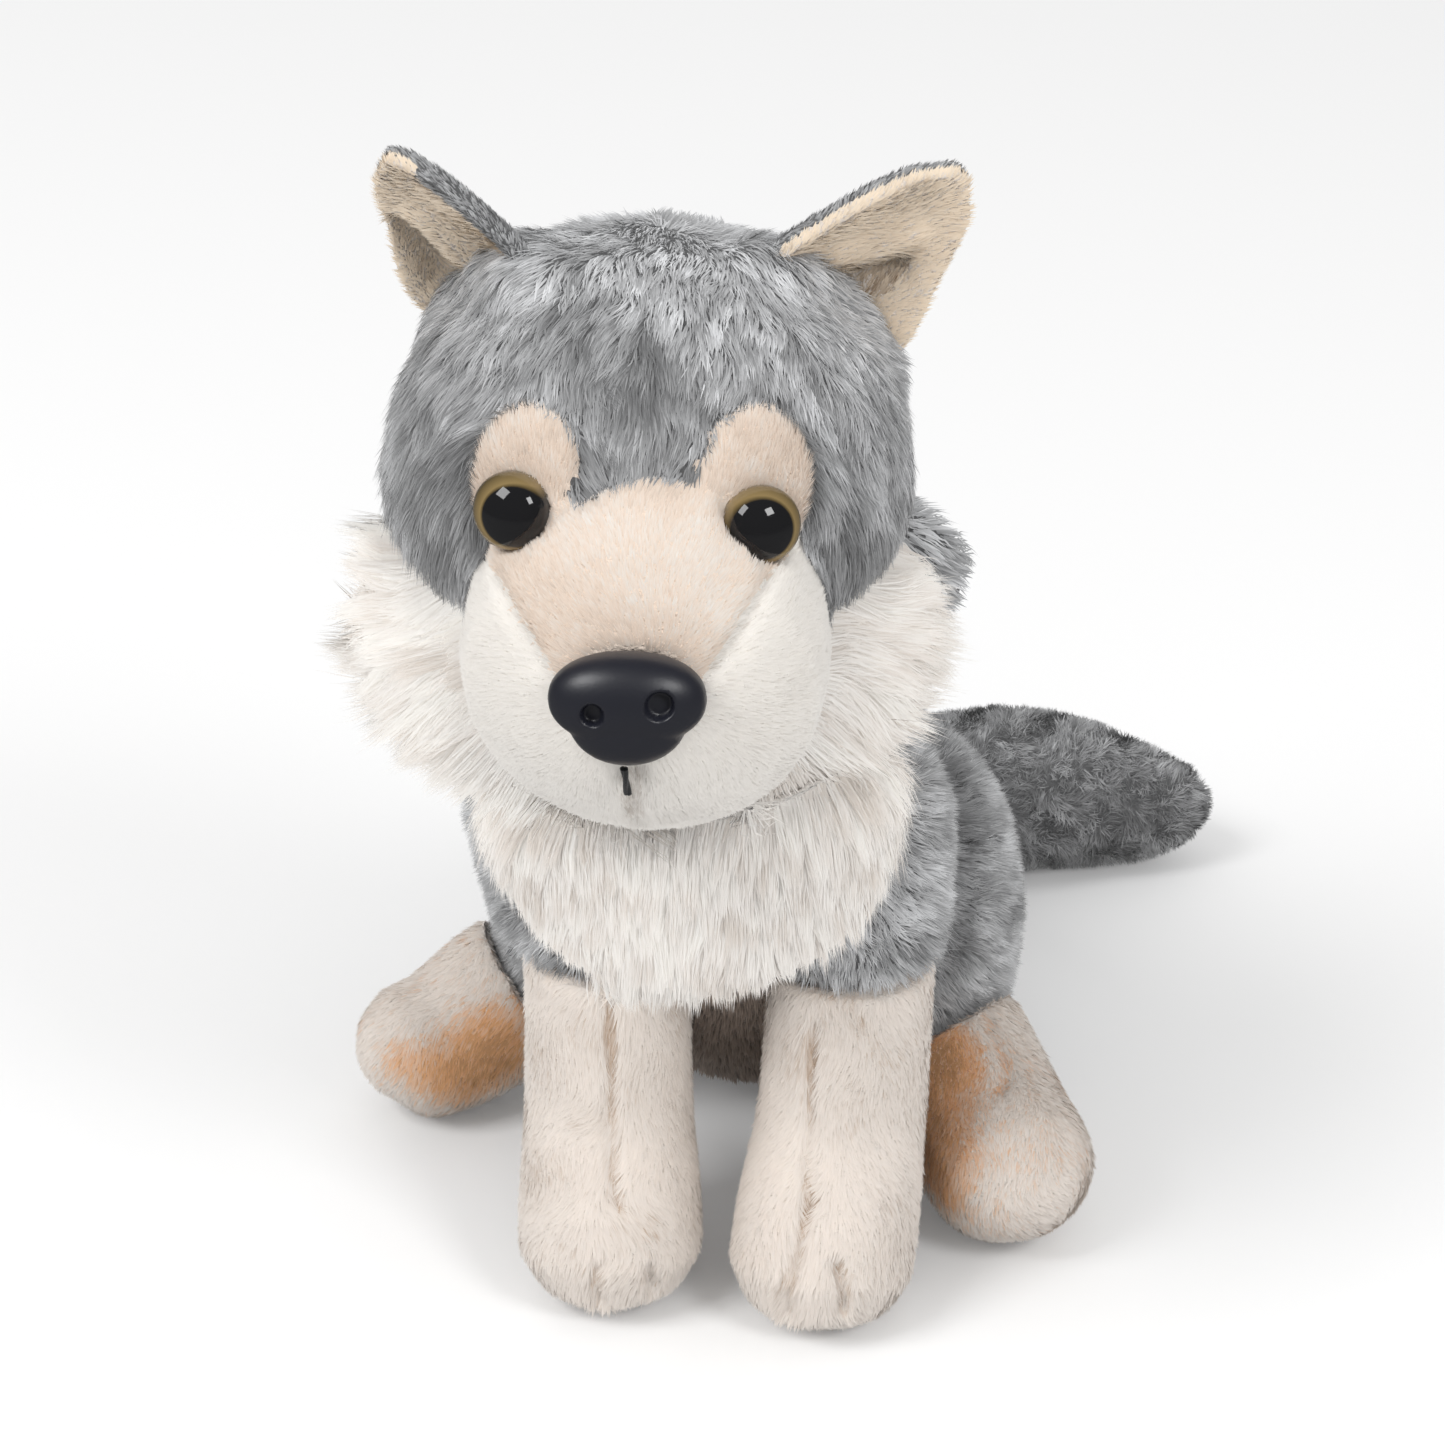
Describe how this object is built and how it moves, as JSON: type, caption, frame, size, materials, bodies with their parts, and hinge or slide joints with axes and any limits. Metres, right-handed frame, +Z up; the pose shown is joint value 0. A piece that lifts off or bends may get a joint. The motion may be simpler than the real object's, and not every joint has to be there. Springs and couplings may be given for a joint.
{
  "type": "plush wolf",
  "caption": "Sitting plush wolf with a grey back and tail, white cheeks and chest, cream legs, a tan muzzle, amber plastic eyes and a black plastic nose.",
  "frame": {"origin": "on the floor, under the middle of the wolf's bounding box", "axes": "+Z up, -Y the way the body faces, +X towards the wolf's own left side"},
  "size_m": [0.1734, 0.2516, 0.237],
  "materials": {
    "grey_pile": "blue-grey pile fabric with darker and paler streaks",
    "white_long_pile": "warm white long pile in soft tufts",
    "ivory_velour": "short ivory velour",
    "tan_plush": "short tan plush, airbrushed darker in places",
    "cream_plush": "short cream plush",
    "belly_plush": "short brown-grey plush",
    "eye_plastic": "clear glossy dome over an amber ring and a black pupil",
    "nose_plastic": "satin black",
    "washer_plastic": "natural plastic",
    "black_thread": "matt black thread"
  },
  "bodies": {
    "root": {"belly_panel": "belly_plush", "body": "grey_pile", "brow_patch_left": "tan_plush", "brow_patch_right": "tan_plush", "cheek_ruff": "white_long_pile", "chest_bib": "white_long_pile", "ear_back_left": "grey_pile", "ear_back_right": "grey_pile", "ear_lining_left": "cream_plush", "ear_lining_right": "cream_plush", "eye_left": "eye_plastic", "eye_right": "eye_plastic", "eye_washer_left": "washer_plastic", "eye_washer_right": "washer_plastic", "foreleg_left": "cream_plush", "foreleg_right": "cream_plush", "haunch_left": "grey_pile", "haunch_right": "grey_pile", "head_back": "grey_pile", "head_front": "grey_pile", "hind_foot_left": "tan_plush", "hind_foot_right": "tan_plush", "mouth_stitch": "black_thread", "muzzle_bridge": "tan_plush", "muzzle_side_left": "ivory_velour", "muzzle_side_right": "ivory_velour", "nape_mane": "grey_pile", "nose": "nose_plastic", "nose_washer": "washer_plastic", "shoulder_left": "grey_pile", "shoulder_right": "grey_pile", "tail": "grey_pile"}
  },
  "joints": []
}
